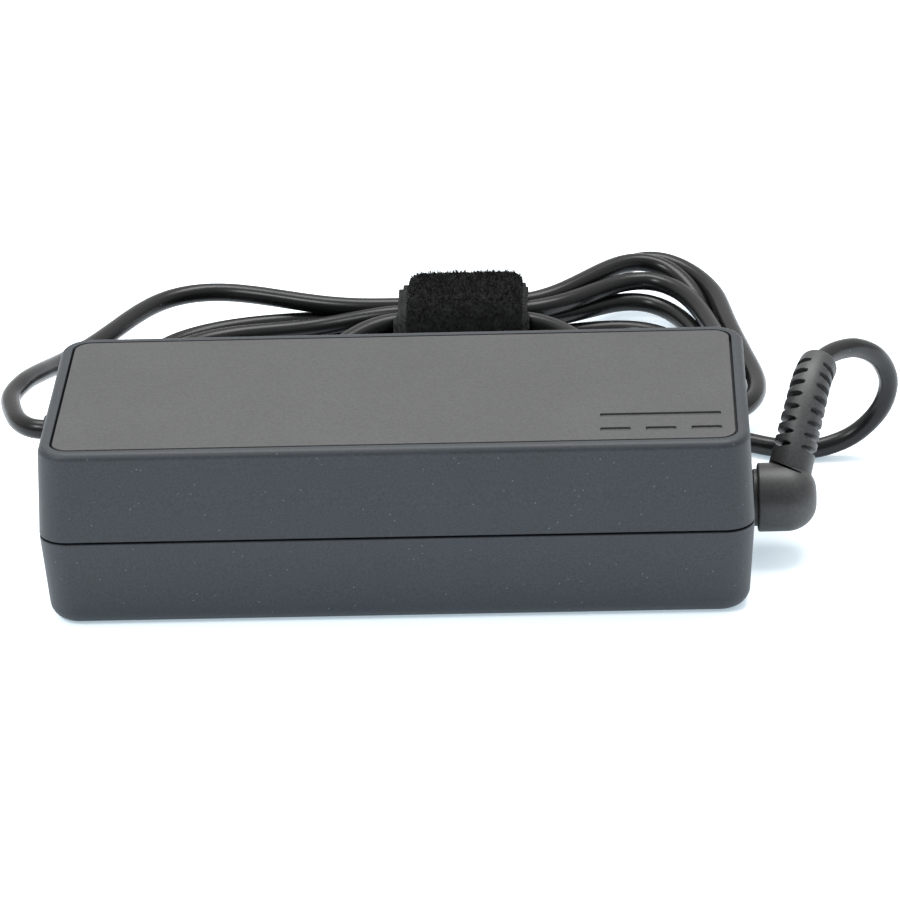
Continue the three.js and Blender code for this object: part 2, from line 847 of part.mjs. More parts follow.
function bootSlot(curve, s) {
  const outer = bootBaseRadius + 1;
  const inner = bootBaseRadius - slotDepth - ((bootBaseRadius - bootTipRadius) * s) / curve.getLength();
  const profile = [
    [-slotWidth / 2, inner],
    [slotWidth / 2, inner],
    [slotWidth / 2, outer],
    [-slotWidth / 2, outer],
    [-slotWidth / 2, inner],
  ];
  const ring = new THREE.LatheGeometry(
    profile.map(([along, radius]) => new THREE.Vector2(radius, along)),
    20,
  );
  ring.rotateX(Math.PI / 2);
  let slot = solidOf(placeOnCurve(ring, curve, s));
  if (slot.volume() < 0) {
    ring.index.array.reverse();
    slot = solidOf(ring);
  }
  const spine = new THREE.BoxGeometry(spineWidth, outer * 2 + 1, slotWidth + 1);
  return slot.subtract(solidOf(placeOnCurve(spine, curve, s)));
}

function plugOvermould() {
  const dome = plugHeadDome;
  const length = plugHeadLength;
  const bevel = 0.3;
  const profile = [
    [-collarLength, 0],
    [-collarLength, collarRadius],
    [0, collarRadius],
    [0, plugHeadRadius - bevel],
    [bevel, plugHeadRadius],
    [length - dome, plugHeadRadius],
  ];
  for (const turn of [25, 50, 72]) {
    const along = length - dome * (1 - Math.sin(turn * radians));
    profile.push([along, plugHeadRadius - dome * 0.9 * (1 - Math.cos(turn * radians))]);
  }
  profile.push([length, plugHeadRadius - dome * 0.9], [length, 0]);
  let body = turned(profile, "x", [plugMouth, 0, plugZ], 28);

  const curve = curveThrough(bootRoute);
  const rings = [];
  const ringCount = 14;
  const sides = 20;
  for (let i = 0; i <= ringCount; i++) {
    const share = i / ringCount;
    const taper = bootBaseRadius + (bootTipRadius - bootBaseRadius) * share;
    const endRound = share > 0.97 ? 0.75 : 1;
    const circle = new THREE.BufferGeometry().setFromPoints(
      Array.from({ length: sides }, (_, k) => {
        const angle = (k / sides) * Math.PI * 2;
        const radius = taper * endRound;
        return new THREE.Vector3(radius * Math.cos(angle), radius * Math.sin(angle), 0);
      }),
    );
    placeOnCurve(circle, curve, share * curve.getLength());
    const place = circle.attributes.position;
    rings.push(
      Array.from({ length: sides }, (_, k) => new THREE.Vector3().fromBufferAttribute(place, k)),
    );
  }
  let boot = loft(rings);
  for (let i = 0; i < slotCount; i++) {
    boot = boot.subtract(bootSlot(curve, firstSlot + i * slotPitch));
  }
  body = body.add(boot);
  const bore = rod(
    barrelRadius + clearance,
    barrelRoot + collarLength + 1,
    "x",
    [plugMouth - collarLength - 1, 0, plugZ],
    24,
  );
  return body.subtract(bore);
}

function plugPipe(outer, thickness, inset) {
  const start = barrelTip + inset;
  const end = plugMouth + barrelRoot - clearance - inset;
  return pipe(outer, outer - thickness, end - start, "x", [start, 0, plugZ], 24);
}

const insulatorOuter = barrelRadius - barrelWall - clearance;
const contactOuter = contactRadius + contactWall;

// A sleeve inside the barrel, with a ring at its root that reaches in to the contact.
function insulator() {
  const inset = 0.2;
  const rootInner = contactOuter + insulatorFit;
  const rootX = plugMouth + barrelRoot - clearance - inset - insulatorRoot;
  const root = pipe(insulatorOuter, rootInner, insulatorRoot, "x", [rootX, 0, plugZ], 24);
  return plugPipe(insulatorOuter, insulatorWall, inset).add(root);
}

add("plug_overmould", plugOvermould(), "overmould");
add("plug_barrel", plugPipe(barrelRadius, barrelWall, 0), "nickel");
add("plug_insulator", insulator(), "socket");
add("plug_inner_contact", plugPipe(contactOuter, contactWall, 0.5), "brass");

// ---------------------------------------------------------------- the free cord and its strap
const cordStepLength = 2.5 * 2 * cordRadius;

function cordTube(points) {
  const steps = Math.max(8, Math.round(curveThrough(points).getLength() / cordStepLength) * 2);
  return tube(points, cordRadius, steps);
}

// The outer shape of the hank, seen from above: two lobes joined by a narrow waist in the strap.
function hankOutline() {
  const left = { x: -36.6, y: 70, radius: 20 };
  const right = { edge: 58.6, near: 38.4, far: 102.6, corner: 20 };
  const waistStart = strapX - strapWidth / 2 - 1;
  const waistEnd = strapX + strapWidth / 2 + 1;
  const waistNear = strapY - bundleWidth / 2;
  const waistFar = strapY + bundleWidth / 2;
  const cornerX = right.edge - right.corner;
  const outline = new THREE.Shape();
  outline.moveTo(waistStart, waistNear);
  outline.bezierCurveTo(-12, waistNear, -20, left.y - left.radius, left.x, left.y - left.radius);
  outline.absarc(left.x, left.y, left.radius, -Math.PI / 2, Math.PI / 2, true);
  outline.bezierCurveTo(-20, left.y + left.radius, -14, waistFar, waistStart, waistFar);
  outline.lineTo(waistEnd, waistFar);
  outline.bezierCurveTo(28, waistFar, 26, right.far, cornerX, right.far);
  outline.absarc(cornerX, right.far - right.corner, right.corner, Math.PI / 2, 0, true);
  outline.absarc(cornerX, right.near + right.corner, right.corner, 0, -Math.PI / 2, true);
  outline.bezierCurveTo(30, right.near, 28, waistNear, waistEnd, waistNear);
  outline.closePath();
  return outline;
}

const bundleCorner = 1.5;
const bundleZ = cordLift + strapThickness + clearance + bundleHeight / 2;

// A rounded rectangle that stands "outwards" of the bundle of runs inside the strap.
function bandOutline(outwards, corner) {
  const halfX = bundleWidth / 2 + outwards;
  const halfY = bundleHeight / 2 + outwards;
  return roundedRing(halfX, halfY, corner, 0).map((p) => new THREE.Vector2(p.x, p.y));
}

// The outline stood up in the YZ plane about the bundle and drawn out along X.
function alongStrap(outline, length, hole) {
  const shape = new THREE.Shape(outline);
  if (hole) shape.holes.push(new THREE.Path(hole));
  const band = plate(shape, length);
  band.rotateX(Math.PI / 2);
  band.rotateZ(Math.PI / 2);
  band.translate(strapX - length / 2, strapY, bundleZ);
  return solidOf(band);
}

function hank() {
  const body = plate(hankOutline(), hankHeight - cordLift, 8);
  body.translate(0, 0, cordLift);
  const margin = clearance;
  const strapSpace = boxBetween(
    [strapX - strapWidth / 2 - margin, 0, -1],
    [strapX + strapWidth / 2 + margin, 200, hankHeight + 1],
  );
  const core = alongStrap(bandOutline(0, bundleCorner), strapWidth + 4);
  return solidOf(body).subtract(strapSpace).add(core);
}

function strap() {
  const outer = bandOutline(clearance + strapThickness, bundleCorner + clearance + strapThickness);
  return alongStrap(outer, strapWidth, bandOutline(clearance, bundleCorner + clearance));
}

add("dc_cord_start", cordTube(startRoute), "cord");
add("dc_cord_hank", hank(), "cord");
add("dc_cord_end", cordTube(endRoute), "cord");
add("hook_and_loop_strap", strap(), "strap");

export default adapter;
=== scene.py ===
"""A laptop power adapter with its low-voltage cord wound into a hank behind it.

Shapes are worked out in millimetres and turned into metres by MM where a mesh is made.
"""
import math
import random

import bmesh
import bpy
import numpy as np
from mathutils import Matrix, Vector


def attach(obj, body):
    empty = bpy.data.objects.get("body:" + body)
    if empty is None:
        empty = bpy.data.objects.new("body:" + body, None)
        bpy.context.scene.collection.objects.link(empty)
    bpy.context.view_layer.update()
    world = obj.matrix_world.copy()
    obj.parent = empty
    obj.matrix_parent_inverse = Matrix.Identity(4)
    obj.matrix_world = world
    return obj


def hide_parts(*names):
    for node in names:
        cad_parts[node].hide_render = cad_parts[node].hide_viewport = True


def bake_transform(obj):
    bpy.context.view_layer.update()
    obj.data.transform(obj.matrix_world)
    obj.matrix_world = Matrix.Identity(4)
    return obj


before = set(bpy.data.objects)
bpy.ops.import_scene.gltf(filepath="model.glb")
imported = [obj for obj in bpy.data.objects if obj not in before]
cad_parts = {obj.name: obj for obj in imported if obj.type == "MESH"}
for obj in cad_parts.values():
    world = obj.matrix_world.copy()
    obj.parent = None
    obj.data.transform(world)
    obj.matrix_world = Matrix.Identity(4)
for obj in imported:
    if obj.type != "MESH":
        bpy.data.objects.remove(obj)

# Blender's factory scene holds these three, and nothing here uses them.
for default_name in ("Cube", "Light", "Camera"):
    if default_name in bpy.data.objects:
        bpy.data.objects.remove(bpy.data.objects[default_name], do_unlink=True)
bpy.context.view_layer.update()
MM = 0.001


# ---------------------------------------------------------------- camera
def make_camera():
    """The view from in front and above, rolled by two degrees, through a long lens."""
    data = bpy.data.cameras.new("camera")
    data.sensor_width = 36
    data.lens = 186.71
    data.clip_start = 0.05
    data.clip_end = 20
    camera = bpy.data.objects.new("camera", data)
    right = Vector((0.99911136, 0.02512478, -0.03384129))
    up = Vector((0.0203051, 0.41667536, 0.90882856))
    back = Vector((0.03693495, -0.90870809, 0.41579493))
    turn = Matrix((right, up, back)).transposed().to_4x4()
    place = Vector((34.703, -660.278, 320.493))
    camera.matrix_world = Matrix.Translation(place * MM) @ turn
    bpy.context.scene.collection.objects.link(camera)
    bpy.context.scene.camera = camera


make_camera()


# ---------------------------------------------------------------- the cord's route
CORD = 3.2  # diameter
LIE = CORD / 2 + 0.1  # height of its centre where it lies on the surface

START = [
    (-53, 15.8, 16.2), (-57.8, 15.8, 16.2), (-59.4, 16.4, 16.2), (-61.5, 18.8, 16.1),
    (-63.2, 23.4, 16), (-64.2, 29.3, 15.9), (-63, 36.4, 15.4), (-61.2, 44, 13.8),
    (-59.4, 51.9, 11.6), (-57.9, 56.9, 10.5), (-56.2, 61.3, 9.8),
    (-53.8, 66.2, 9.5), (-49, 77.2, 9.4), (-43.2, 86.5, 9.3), (-35, 89.2, 9),
    (-24, 85.6, 8.6), (-12, 81.8, 8.1),
]
END = [
    (25.5, 62.5, 2.1), (31, 52.5, 1.7), (37.6, 45, 1.7), (43.6, 41.6, 1.7),
    (49.3, 40.3, 1.7), (52, 38.9, 1.7), (55.9, 36.8, 1.7), (59.7, 34.9, 1.7),
    (63.4, 34, 1.72), (67, 34.1, 1.9), (71.8, 34.6, 3.5), (74.9, 34.7, 6),
    (77.1, 34, 9.5), (77.9, 32.5, 14.4), (76, 30, 19.5), (72.4, 26.4, 22.8),
    (69.2, 22.7, 24), (67.5, 20.2, 24.3), (66.3, 18, 24.3), (65.6, 15.8, 24),
]
STRAP_X = 7.7
STRAP_WIDTH = 23.2
BUNDLE_Y = 78.6
RUN_PITCH, ROW_PITCH, LOWEST_RUN = 3.3, 2.75, 2.6

# The runs inside the strap lie in three rows: (place across in pitches, row).
RUNS_RIGHT = [(1, 2), (1.5, 1), (0, 2), (0.5, 1), (1, 0), (-2, 0)]
RUNS_LEFT = [(-1, 0), (-1.5, 1), (-1, 2), (-0.5, 1), (0, 0)]

# Each turn's two loops, from the strap's far side round to its near side.
RIGHT_LOOPS = [
    [(39.5, 100.3, 9.2), (48, 92.4, 6.4), (50.6, 80, 2.6), (53.6, 64, 1.8),
     (54.8, 52, 1.75), (50.5, 46.5, 1.75), (43.5, 45.4, 1.75)],
    [(39, 102.8, 8.6), (48, 94.4, 6.2), (50.8, 81, 5.3), (54.4, 64, 4.9),
     (57.2, 51.4, 4.8), (54.4, 41.6, 4.7), (45, 40.6, 4.7)],
    [(39.5, 95.4, 6.9), (46.4, 89.5, 6.2), (50, 79, 5.1), (52.8, 65, 4.8),
     (53, 54.5, 4.7), (49, 48.8, 4.7), (43, 47.4, 4.7)],
    [(38.5, 93, 3.9), (45, 87.2, 2.8), (48.6, 78, 1.75), (51.1, 65, 1.75),
     (50.8, 55.5, 1.75), (47.4, 50.6, 1.75), (42, 49.2, 1.75)],
    [(36, 86.2, 1.75), (42.5, 82.8, 1.75), (46, 75.6, 1.75), (47.6, 67, 1.75),
     (46.6, 59, 1.75), (41.2, 53.8, 1.75), (34, 55, 1.75)],
]
LEFT_LOOPS = [
    [(-21, 84.3, 4.9), (-35, 81.6, 4.9), (-43.2, 76, 4.9), (-47.2, 68, 4.9),
     (-44.6, 59.6, 3.6), (-36.5, 54.6, 1.75), (-24, 53.9, 1.75)],
    [(-19, 79.5, 4.7), (-31, 77.7, 4.7), (-39.6, 73.5, 4.7), (-44, 66.6, 4.7),
     (-42.6, 58, 4.7), (-35, 53.2, 4.7), (-23, 52.4, 4.7)],
    [(-20, 81.6, 1.75), (-31, 79.8, 1.75), (-38.6, 75.3, 1.75), (-42.2, 68, 1.75),
     (-40, 61, 3.4), (-33, 56.6, 4.7), (-22, 55.8, 4.7)],
    [(-21, 85.3, 1.75), (-33, 82.9, 1.75), (-42, 77.3, 1.75), (-45.8, 69, 1.75),
     (-42, 61.5, 1.75), (-33, 58.2, 1.75), (-22, 57.4, 1.75)],
    [(-17, 78, 1.75), (-27, 77.4, 1.75), (-35.4, 74.6, 1.75), (-39, 68.4, 1.75),
     (-35.6, 61.9, 1.75), (-28, 60.2, 1.75), (-19, 61.6, 1.75)],
]


def run_place(run):
    """(y, z) of a run inside the strap."""
    across, row = run
    return BUNDLE_Y + RUN_PITCH * across, LOWEST_RUN + ROW_PITCH * row


def through_strap(run, direction):
    y, z = run_place(run)
    return [(STRAP_X + direction * share * STRAP_WIDTH / 2, y, z) for share in (-1, 0, 1)]


def loop_points(side, far_run, near_run, stations):
    """A loop's points, eased into the two runs that it joins by two more points at each end."""
    leaving, nearing, straight_out = 0.12, 0.52, 1.8
    edge = STRAP_X + side * STRAP_WIDTH / 2
    points = [np.array(p, float) for p in stations]
    ease = np.array([side * straight_out, 0, 0])
    ends = []
    for run, first in ((far_run, points[0]), (near_run, points[-1])):
        at = np.array([edge, *run_place(run)])
        ends.append([at + leaving * (first - at) + ease, at + nearing * (first - at)])
    ordered = ends[0] + points + ends[1][::-1]
    return ordered if side > 0 else ordered[::-1]


def hank_points():
    """The whole route: the start, five turns through the strap, and the stretch to the plug."""
    points = list(START)
    for turn, (right, left) in enumerate(zip(RIGHT_LOOPS, LEFT_LOOPS)):
        there, back, again = RUNS_RIGHT[turn], RUNS_LEFT[turn], RUNS_RIGHT[turn + 1]
        points += through_strap(there, 1)
        points += loop_points(1, there, back, right)
        points += through_strap(back, -1)
        points += loop_points(-1, again, back, left)
    points += through_strap(RUNS_RIGHT[-1], 1)
    return np.array([tuple(p) for p in points + END], float)


def smooth_curve(points, steps):
    """A centripetal Catmull-Rom curve through the points."""
    points = np.vstack([2 * points[0] - points[1], points, 2 * points[-1] - points[-2]])
    pieces = []
    for i in range(1, len(points) - 2):
        p = points[i - 1:i + 3]
        t = np.concatenate([[0], np.cumsum(np.sqrt(np.linalg.norm(np.diff(p, axis=0), axis=1)))])
        at = np.linspace(t[1], t[2], steps, endpoint=False)[:, None]
        a = [((t[k + 1] - at) * p[k] + (at - t[k]) * p[k + 1]) / (t[k + 1] - t[k]) for k in range(3)]
        b = [((t[k + 2] - at) * a[k] + (at - t[k]) * a[k + 1]) / (t[k + 2] - t[k]) for k in range(2)]
        pieces.append(((t[2] - at) * b[0] + (at - t[1]) * b[1]) / (t[2] - t[1]))
    return np.vstack(pieces + [points[-2:-1]])


def evenly(points, step):
    """Points along the line, as near to a step apart as divides it evenly."""
    along = np.concatenate([[0], np.cumsum(np.linalg.norm(np.diff(points, axis=0), axis=1))])
    places = np.linspace(0, along[-1], int(round(along[-1] / step)) + 1)
    return np.stack([np.interp(places, along, points[:, k]) for k in range(3)], 1)


def eased(values, free, reach=1):
    """Each value moved halfway to the mean of its neighbours, where it is free to move."""
    out = values.copy()
    mean = (values[:-2 * reach] + values[2 * reach:]) / 2
    out[reach:-reach] += free[reach:-reach] * (mean - values[reach:-reach]) / 2
    return out


def settled(points, step, rounds=800):
    """Pushes the turns apart to a diameter, and keeps them on or above the surface."""
    held_start, held_end, held_in_strap, hank_front = 40, 104, 5, 60
    count = len(points)
    along = np.arange(count) * step
    held = (np.abs(points[:, 0] - STRAP_X) < held_in_strap) & (points[:, 1] > hank_front)
    held |= (along < held_start) | (along > along[-1] - held_end)
    free = (~held).astype(float)[:, None]
    rest = points
    for _ in range(14):
        rest = eased(rest, free)
    rest[:, 2] = np.maximum(rest[:, 2], LIE)
    moved = np.zeros_like(rest)
    apart = 1.03 * CORD
    first, second = np.triu_indices(count, int(math.ceil(2.5 * CORD / step)))
    for turn in range(rounds):
        points = rest + moved
        if turn % 10 == 0:
            near = (np.abs(points[first] - points[second]) < 1.8 * CORD).all(1)
            i_near, j_near = first[near], second[near]
        gap = points[i_near] - points[j_near]
        distance = np.linalg.norm(gap, axis=1)
        close = distance < apart
        i, j, gap, distance = i_near[close], j_near[close], gap[close], distance[close]
        push = gap * ((apart - distance) / np.maximum(distance, 1e-6) / 2)[:, None]
        share = np.maximum(free[i] + free[j], 1e-6)
        total, hits = np.zeros_like(rest), np.zeros(count)
        np.add.at(total, i, push * 2 * free[i] / share)
        np.add.at(total, j, -push * 2 * free[j] / share)
        np.add.at(hits, i, 1)
        np.add.at(hits, j, 1)
        moved += free * total / np.sqrt(np.maximum(hits, 1))[:, None] * 1.2
        moved = eased(moved, free, 1 + turn % 3) * 0.998
        lifted = np.maximum(rest[:, 2] + moved[:, 2], LIE) - rest[:, 2]
        moved[:, 2] = np.where(held, moved[:, 2], lifted)
    return rest + moved


SETTLE_STEP, CORD_STEP = 2.0, 0.8
cord_line = evenly(smooth_curve(hank_points(), 14), SETTLE_STEP)
cord_line = settled(cord_line, SETTLE_STEP)
cord_line = evenly(smooth_curve(cord_line, 3), CORD_STEP)


# ---------------------------------------------------------------- mesh helpers
def mesh_object(name, points, faces):
    """A smooth-shaded mesh object from points in millimetres."""
    mesh = bpy.data.meshes.new(name)
    mesh.from_pydata([tuple(c * MM for c in p) for p in points], [], faces)
    mesh.validate()
    mesh.shade_smooth()
    piece = bpy.data.objects.new(name, mesh)
    bpy.context.scene.collection.objects.link(piece)
    return piece


def grid_faces(rings, count):
    """Quads between neighbouring rings of the same number of points."""
    faces = []
    for r in range(rings - 1):
        for i in range(count):
            a, b = r * count + i, r * count + (i + 1) % count
            faces.append((a, b, b + count, a + count))
    return faces


def loft(name, rings):
    """A closed skin over rings of points, with a flat face at each end."""
    count = len(rings[0])
    points = [p for ring in rings for p in ring]
    faces = grid_faces(len(rings), count)
    last = (len(rings) - 1) * count
    faces.append(tuple(range(count))[::-1])
    faces.append(tuple(range(last, last + count)))
    return mesh_object(name, points, faces)


def facing_out(piece):
    """Turns every face outwards."""
    work = bmesh.new()
    work.from_mesh(piece.data)
    bmesh.ops.recalc_face_normals(work, faces=work.faces)
    work.to_mesh(piece.data)
    work.free()
    return piece


def sharp_edges(piece, degrees=32):
    """Smooth faces, with the edges that turn by more than the angle kept sharp."""
    piece.data.shade_smooth()
    piece.data.set_sharp_from_angle(angle=math.radians(degrees))
    weighted = piece.modifiers.new("normals", "WEIGHTED_NORMAL")
    weighted.keep_sharp = True
    return piece


def applied(piece):
    """The piece with its modifiers worked into its mesh."""
    bpy.context.view_layer.update()
    evaluated = piece.evaluated_get(bpy.context.evaluated_depsgraph_get())
    mesh = bpy.data.meshes.new_from_object(evaluated)
    piece.modifiers.clear()
    piece.data = mesh
    return piece


def combine(piece, others, operation):
    """Cuts the others out of the piece, or joins them to it, and deletes them."""
    for other in others:
        step = piece.modifiers.new(operation.lower(), "BOOLEAN")
        step.operation = operation
        step.solver = "EXACT"
        step.object = other
        applied(piece)
        bpy.data.objects.remove(other)
    return piece


def frames_along(line, side):
    """A tangent and two square directions at each point, starting from the given side."""
    tangents = np.gradient(line, axis=0)
    tangents /= np.linalg.norm(tangents, axis=1)[:, None]
    side = np.array(side, float)
    sides = []
    for tangent in tangents:
        side = side - tangent * (side @ tangent)
        side = side / np.linalg.norm(side)
        sides.append(side)
    sides = np.array(sides)
    return tangents, sides, np.cross(tangents, sides)


def tube_rings(line, radii, count, side):
    """Rings of points round a line. radii holds one number, or one for each angle, per ring."""
    _, sides, across = frames_along(line, side)
    angles = np.arange(count) / count * 2 * math.pi
    rings = []
    for at, a, b, radius in zip(line, sides, across, radii):
        spokes = np.outer(np.cos(angles), a) + np.outer(np.sin(angles), b)
        rings.append(at + spokes * np.broadcast_to(radius, count)[:, None])
    return rings


def turned(name, profile, count, at):
    """A body turned about an axis along X from [x, radius] points that start and end on the axis."""
    angles = np.arange(count) / count * 2 * math.pi
    rings = []
    for x, radius in profile:
        ring = np.stack([np.full(count, x), radius * np.cos(angles), radius * np.sin(angles)], 1)
        rings.append(ring + np.array(at))
    return facing_out(loft(name, rings))


# ---------------------------------------------------------------- materials
def nodes_of(name, colour, roughness, metallic=0.0, specular=0.5):
    """A new material, its tree, its shader and the object's own coordinates."""
    material = bpy.data.materials.new(name)
    material.use_nodes = True
    tree = material.node_tree
    shader = tree.nodes["Principled BSDF"]
    shader.inputs["Base Color"].default_value = (*colour, 1)
    shader.inputs["Roughness"].default_value = roughness
    shader.inputs["Metallic"].default_value = metallic
    shader.inputs["Specular IOR Level"].default_value = specular
    place = tree.nodes.new("ShaderNodeTexCoord")
    return material, tree, shader, place.outputs["Object"]


def node(tree, kind, inputs=(), **settings):
    """A shader node with its settings, and its inputs set or joined."""
    made = tree.nodes.new("ShaderNode" + kind)
    for key, value in settings.items():
        setattr(made, key, value)
    for key, value in dict(inputs).items():
        socket = made.inputs[key]
        if isinstance(value, bpy.types.NodeSocket):
            tree.links.new(value, socket)
        else:
            socket.default_value = value
    return made


def noise(tree, place, scale, detail=3.0):
    settings = {"Vector": place, "Scale": scale, "Detail": detail, "Roughness": 0.55}
    made = node(tree, "TexNoise", settings)
    return made.outputs["Fac"]


def ramp(tree, value, stops):
    """A colour ramp of (place, colour) stops."""
    made = node(tree, "ValToRGB", {"Fac": value})
    for i, (place, colour) in enumerate(stops):
        stop = made.color_ramp.elements[i] if i < 2 else made.color_ramp.elements.new(place)
        stop.position = place
        stop.color = (*colour, 1)
    return made.outputs["Color"]


def grey(value):
    return (value, value, value)


def scaled(colour, factor):
    return tuple(c * factor for c in colour)


def speckle(tree, place, scale, share):
    """1 in scattered small spots, 0 elsewhere."""
    cells = node(tree, "TexVoronoi", {"Vector": place, "Scale": scale})
    spot_size = 0.16
    spot = node(tree, "Math", {0: cells.outputs["Distance"], 1: spot_size}, operation="LESS_THAN")
    lone = node(tree, "SeparateColor", {"Color": cells.outputs["Color"]})
    rare = node(tree, "Math", {0: lone.outputs[0], 1: share}, operation="LESS_THAN")
    both = node(tree, "Math", {0: spot.outputs[0], 1: rare.outputs[0]}, operation="MULTIPLY")
    return both.outputs[0]


def mix(tree, share, under, over, blend="MIX"):
    """One colour over another. 6 and 7 are the Mix node's two colour sockets."""
    settings = {"Factor": share, 6: under, 7: over}
    return node(tree, "Mix", settings, data_type="RGBA", blend_type=blend).outputs[2]


def bump(tree, shader, height, strength, distance):
    made = node(tree, "Bump", {"Height": height, "Strength": strength, "Distance": distance})
    tree.links.new(made.outputs["Normal"], shader.inputs["Normal"])


def uneven_gloss(tree, shader, value, low, high):
    gloss = node(tree, "MapRange", {"Value": value, "To Min": low, "To Max": high})
    tree.links.new(gloss.outputs["Result"], shader.inputs["Roughness"])


def moulded(name, colour, roughness, grain=3200.0, strength=0.25, specks=0.0, specular=0.5):
    """Matt moulded plastic: a fine spark-eroded grain, faint clouding and a few dusty specks."""
    material, tree, shader, place = nodes_of(name, colour, roughness, specular=specular)
    clouds = noise(tree, place, 60, 4)
    tone = ramp(tree, clouds, [(0.3, scaled(colour, 0.9)), (0.7, scaled(colour, 1.1))])
    fine = noise(tree, place, grain, 2)
    mottled = ramp(tree, fine, [(0.3, grey(0.8)), (0.7, grey(1.25))])
    result = mix(tree, 1.0, tone, mottled, "MULTIPLY")
    if specks:
        spots = speckle(tree, place, 1500.0, specks)
        result = mix(tree, spots, result, (0.085, 0.1, 0.115, 1))
    tree.links.new(result, shader.inputs["Base Color"])
    uneven_gloss(tree, shader, clouds, roughness - 0.05, roughness + 0.06)
    bump(tree, shader, fine, strength, 0.00006)
    return material


def jacket(name, colour, roughness):
    """The cord's satin jacket: faint clouding, fine ripples and slight dust."""
    material, tree, shader, place = nodes_of(name, colour, roughness, specular=0.28)
    wide = noise(tree, place, 90, 3)
    tone = ramp(tree, wide, [(0.3, scaled(colour, 0.8)), (0.7, scaled(colour, 1.25))])
    dust = speckle(tree, place, 900.0, 0.015)
    dusty = mix(tree, dust, tone, (0.06, 0.065, 0.07, 1))
    tree.links.new(dusty, shader.inputs["Base Color"])
    uneven_gloss(tree, shader, wide, roughness - 0.06, roughness + 0.08)
    bump(tree, shader, noise(tree, place, 700, 3), 0.12, 0.0001)
    return material


def metal(name, colour, roughness):
    """Metal with fine marks drawn out along X."""
    material, tree, shader, place = nodes_of(name, colour, roughness, 1.0)
    marks = node(tree, "Mapping", {"Vector": place, "Scale": (300, 2500, 2500)})
    fine = noise(tree, marks.outputs["Vector"], 1, 3)
    tone = ramp(tree, fine, [(0.3, scaled(colour, 0.88)), (0.7, colour)])
    tree.links.new(tone, shader.inputs["Base Color"])
    uneven_gloss(tree, shader, fine, roughness - 0.05, roughness + 0.1)
    bump(tree, shader, fine, 0.1, 0.00002)
    return material


def woven(name, colour):
    """The strap's woven backing: crossed bands of fine threads."""
    material, tree, shader, place = nodes_of(name, colour, 0.8, specular=0.25)
    heights = []
    for turn in (45, -45):
        laid = node(tree, "Mapping", {"Vector": place, "Rotation": (math.radians(turn),) * 3})
        settings = {"Vector": laid.outputs["Vector"], "Scale": 300.0, "Distortion": 1.0}
        heights.append(node(tree, "TexWave", settings).outputs["Fac"])
    weave = node(tree, "Math", {0: heights[0], 1: heights[1]}, operation="MAXIMUM")
    tone = ramp(tree, weave.outputs[0], [(0.3, scaled(colour, 0.5)), (0.95, scaled(colour, 2.2))])
    tree.links.new(tone, shader.inputs["Base Color"])
    bump(tree, shader, weave.outputs[0], 0.7, 0.0002)
    return material


def pile(name, colour):
    """Loop pile: near-black fibres of uneven shade, with a little lint."""
    material, tree, shader, place = nodes_of(name, colour, 0.9, specular=0.15)
    tufts = noise(tree, place, 900, 3)
    tone = ramp(tree, tufts, [(0.35, scaled(colour, 0.45)), (0.7, scaled(colour, 1.9))])
    linted = mix(tree, speckle(tree, place, 1500.0, 0.012), tone, (0.3, 0.32, 0.33, 1))
    tree.links.new(linted, shader.inputs["Base Color"])
    return material


CASING = (0.0205, 0.0252, 0.0305)
PANEL = (0.043, 0.0433, 0.044)
OVERMOULD = (0.032, 0.0325, 0.0325)

casing = moulded("casing", CASING, 0.52, specks=0.06, specular=0.4)
panel = moulded("panel", PANEL, 0.55, grain=2600, strength=0.16)
overmould = moulded("overmould", OVERMOULD, 0.46, grain=1800, strength=0.14)
cord_jacket = jacket("cord_jacket", (0.0065, 0.0066, 0.0066), 0.27)
strap_weave = woven("strap_weave", (0.005, 0.0052, 0.0052))
strap_fibre = pile("strap_fibre", (0.0045, 0.0047, 0.0046))


CREASE = 34  # degrees


def carry(slots):
    """Gives each carried-over CAD node its material and smooth round faces."""
    for node_name, material in slots.items():
        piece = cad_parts[node_name]
        mesh = piece.data
        if "custom_normal" in mesh.attributes:
            mesh.attributes.remove(mesh.attributes["custom_normal"])
        mesh.shade_smooth()
        mesh.materials.clear()
        mesh.materials.append(material)
        weld = piece.modifiers.new("weld", "WELD")
        weld.merge_threshold = 0.01 * MM
        split = piece.modifiers.new("edges", "EDGE_SPLIT")
        split.split_angle = math.radians(CREASE)


def dress(piece, material, body, slot, *replaced):
    """Gives a piece its material and body, and hides the CAD nodes that it stands for. The slot is not
    used.
    """
    piece.data.materials.clear()
    piece.data.materials.append(material)
    if body:
        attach(piece, body)
    if replaced:
        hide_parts(*replaced)
    return piece


# ---------------------------------------------------------------- the case
HALF_LENGTH, HALF_WIDTH, HEIGHT = 54.6, 23.25, 29.0
SEAM, SEAM_GAP, CORNER = 14.5, 0.35, 4.6
WALL, FLOOR, RIM = 2.2, 2.0, 1.8
TOP_FILLET, BOTTOM_FILLET, EDGE = 1.1, 2.6, 0.16
PANEL_THICK, PANEL_CORNER, GROOVE, CLEAR = 1.1, 2.6, 0.35, 0.3
SOFT_EDGE = 0.14  # of the panel and of the rim round it
LEDGE = 1.6  # thickness of the ceiling under the panel
LAP_TOP, LAP_INSET = 16.4, 1.0  # the step where the upper half sits over the lower
LABEL_HALF, POCKET_CORNER, POCKET_DEPTH = (36, 15), 1.8, 0.65
UPPER_DRAFT, LOWER_DRAFT = 2.5, 3.75  # degrees
INLET_LOBE, INLET_DEPTH = 4.95, 13.8
GLAND_HOLE, GLAND_DEPTH = 3.2, 10
PIN_SPACING, INLET_Z, EARTH_DROP = 4.7, 11.9, 4.06
LINE_Z = INLET_Z + EARTH_DROP / 3
PLUG_Z = LINE_Z - EARTH_DROP
GLAND = (15.8, 16.2)


